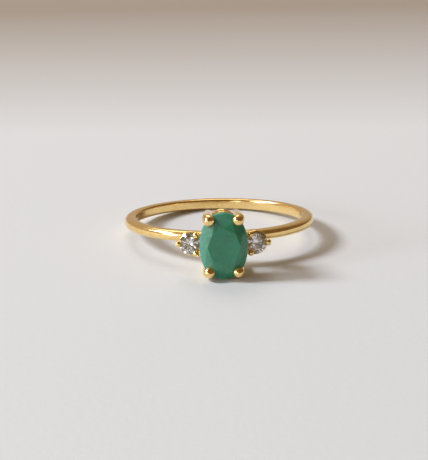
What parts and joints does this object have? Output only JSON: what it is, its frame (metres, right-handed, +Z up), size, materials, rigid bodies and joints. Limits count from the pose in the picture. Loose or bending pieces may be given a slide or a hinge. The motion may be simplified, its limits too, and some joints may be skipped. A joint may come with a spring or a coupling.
{
  "type": "three-stone finger ring",
  "caption": "Plain half-round hoop for a finger, carrying an oval faceted stone in a raised claw head between two smaller round stones in claw heads of their own.",
  "frame": {"origin": "centre of the underside of the whole ring's bounding box, on the table that it rests on", "axes": "+Z up from the table; +Y from the head to the back of the hoop, so the stones face -Y; +X to the right as seen from the stones"},
  "size_m": [0.0206, 0.0261, 0.0071],
  "materials": {
    "gold": null,
    "emerald": null,
    "clear_brilliant": "clear, polished, faceted"
  },
  "bodies": {
    "root": {"shank": "gold", "centre_stone": "emerald", "gallery_rail": "gold", "base_rail": "gold", "upper_left_claw": "gold", "upper_right_claw": "gold", "lower_left_claw": "gold", "lower_right_claw": "gold", "left_stone": "clear_brilliant", "left_seat_ring": "gold", "left_foot_ring": "gold", "left_outer_claw": "gold", "left_upper_claw": "gold", "left_lower_claw": "gold", "right_stone": "clear_brilliant", "right_seat_ring": "gold", "right_foot_ring": "gold", "right_outer_claw": "gold", "right_upper_claw": "gold", "right_lower_claw": "gold"}
  },
  "joints": []
}
